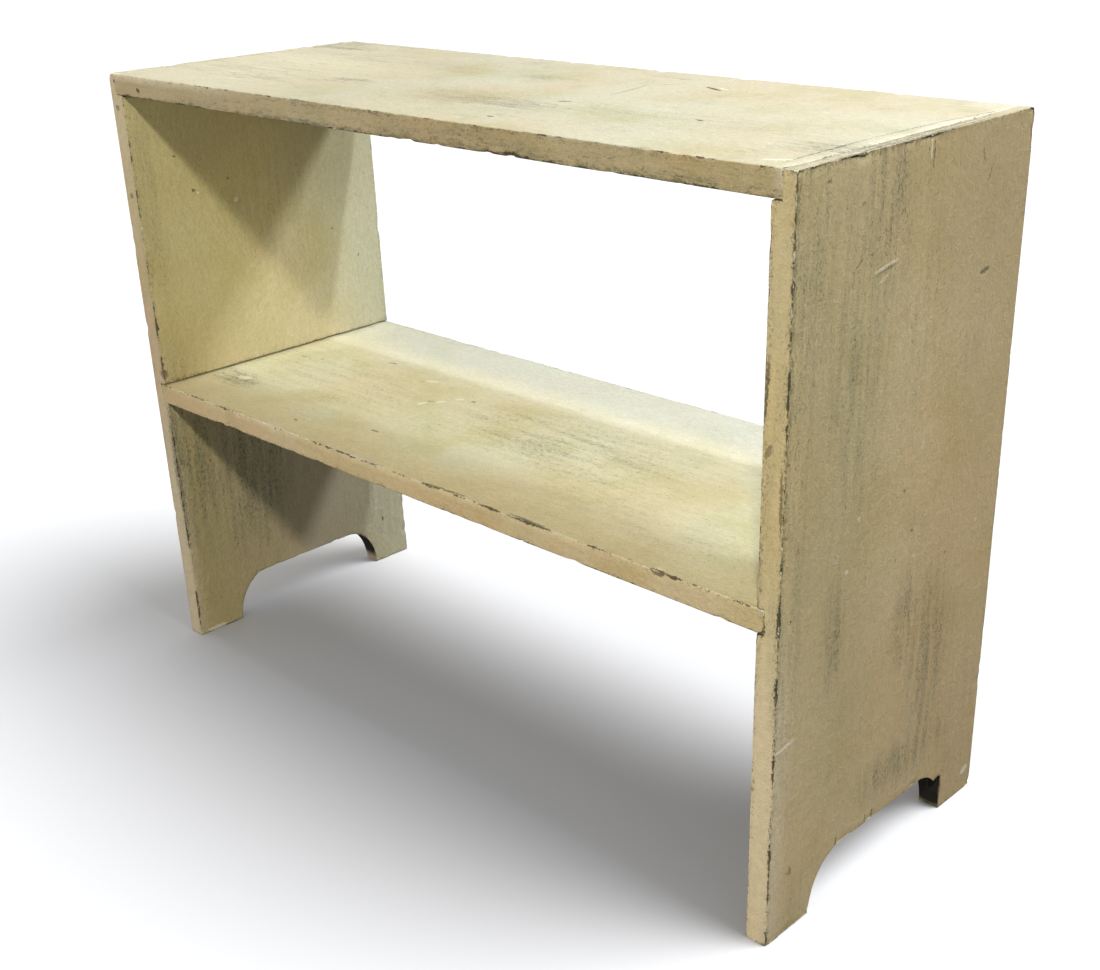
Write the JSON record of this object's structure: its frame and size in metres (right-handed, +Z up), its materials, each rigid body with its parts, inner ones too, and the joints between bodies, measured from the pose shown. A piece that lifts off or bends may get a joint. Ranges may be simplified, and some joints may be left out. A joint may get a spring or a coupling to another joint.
{
  "type": "plank bench with shelf",
  "caption": "Low painted plank bench or open bookshelf: end boards with bracket feet, a let-in top, a housed shelf, nailed together.",
  "frame": {"origin": "on the floor, at the middle of the outline seen from above", "axes": "+X along the length to the right, +Y from the front to the back, +Z up"},
  "size_m": [0.912, 0.348, 0.684],
  "materials": {
    "end_paint": "old cream oil paint over dark green paint on softwood, chipped on the arrises",
    "top_paint": "old cream oil paint, rubbed thin along the grain",
    "shelf_paint": "old cream oil paint, speckled and worn, over dark green paint",
    "nail_iron": "darkened iron cut nails"
  },
  "bodies": {
    "root": {"left_end_board": "end_paint", "right_end_board": "end_paint", "top_board": "top_paint", "shelf_board": "shelf_paint", "left_shelf_nails": "nail_iron", "right_shelf_nails": "nail_iron", "left_top_nails": "nail_iron", "right_top_nails": "nail_iron"}
  },
  "joints": []
}
